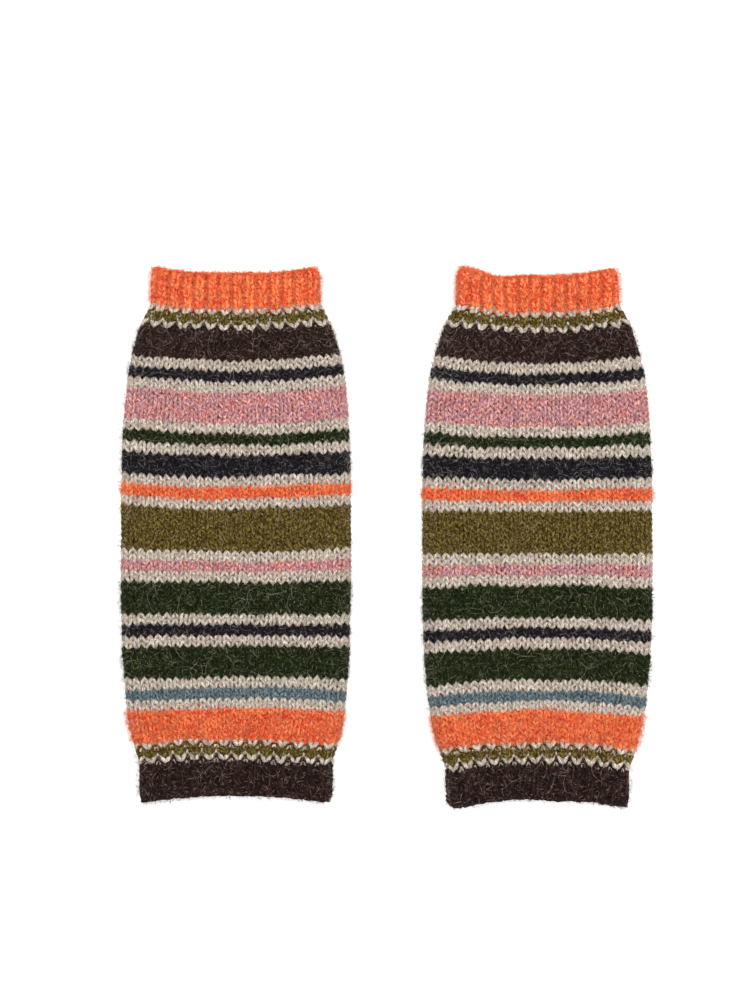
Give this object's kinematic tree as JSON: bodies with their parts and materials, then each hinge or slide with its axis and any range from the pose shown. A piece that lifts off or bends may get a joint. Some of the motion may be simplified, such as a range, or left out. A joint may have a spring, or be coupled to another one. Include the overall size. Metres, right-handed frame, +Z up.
{
  "type": "fingerless gloves",
  "caption": "Pair of long fingerless knitted gloves: open, striped wool tubes with ribbed hand and arm cuffs, lying flat side by side.",
  "frame": {"origin": "on the table plane, under the middle of the pair's box", "axes": "+X across the pair from the left glove to the right, +Y along the gloves towards their hand ends, +Z up from the table"},
  "size_m": [0.2539, 0.2588, 0.013],
  "materials": {
    "orange_wool": "matte",
    "olive_wool": "matte",
    "brown_wool": "matte",
    "navy_wool": "matte",
    "pink_wool": "matte",
    "green_wool": "matte",
    "blue_wool": "matte",
    "cream_wool": "matte",
    "seam_thread": "matte"
  },
  "bodies": {
    "left_glove": {"left_hand_cuff_orange": "orange_wool", "left_hand_rib_olive": "olive_wool", "left_brown_stripe": "brown_wool", "left_hand_navy_line": "navy_wool", "left_pink_stripe": "pink_wool", "left_green_line": "green_wool", "left_navy_stripe": "navy_wool", "left_orange_line": "orange_wool", "left_olive_stripe": "olive_wool", "left_pink_line": "pink_wool", "left_wrist_green_stripe": "green_wool", "left_arm_navy_line": "navy_wool", "left_arm_green_stripe": "green_wool", "left_blue_line": "blue_wool", "left_arm_orange_stripe": "orange_wool", "left_arm_rib_olive": "olive_wool", "left_arm_cuff_brown": "brown_wool", "left_cream_stripes": "cream_wool", "left_side_seam": "seam_thread"},
    "right_glove": {"right_hand_cuff_orange": "orange_wool", "right_hand_rib_olive": "olive_wool", "right_brown_stripe": "brown_wool", "right_hand_navy_line": "navy_wool", "right_pink_stripe": "pink_wool", "right_green_line": "green_wool", "right_navy_stripe": "navy_wool", "right_orange_line": "orange_wool", "right_olive_stripe": "olive_wool", "right_pink_line": "pink_wool", "right_wrist_green_stripe": "green_wool", "right_arm_navy_line": "navy_wool", "right_arm_green_stripe": "green_wool", "right_blue_line": "blue_wool", "right_arm_orange_stripe": "orange_wool", "right_arm_rib_olive": "olive_wool", "right_arm_cuff_brown": "brown_wool", "right_cream_stripes": "cream_wool", "right_side_seam": "seam_thread"}
  },
  "joints": [
    {"name": "right_glove_lift", "type": "slide", "parent": "left_glove", "child": "right_glove", "axis": [0, 0, 1], "range_m": [0, 0.15]}
  ]
}
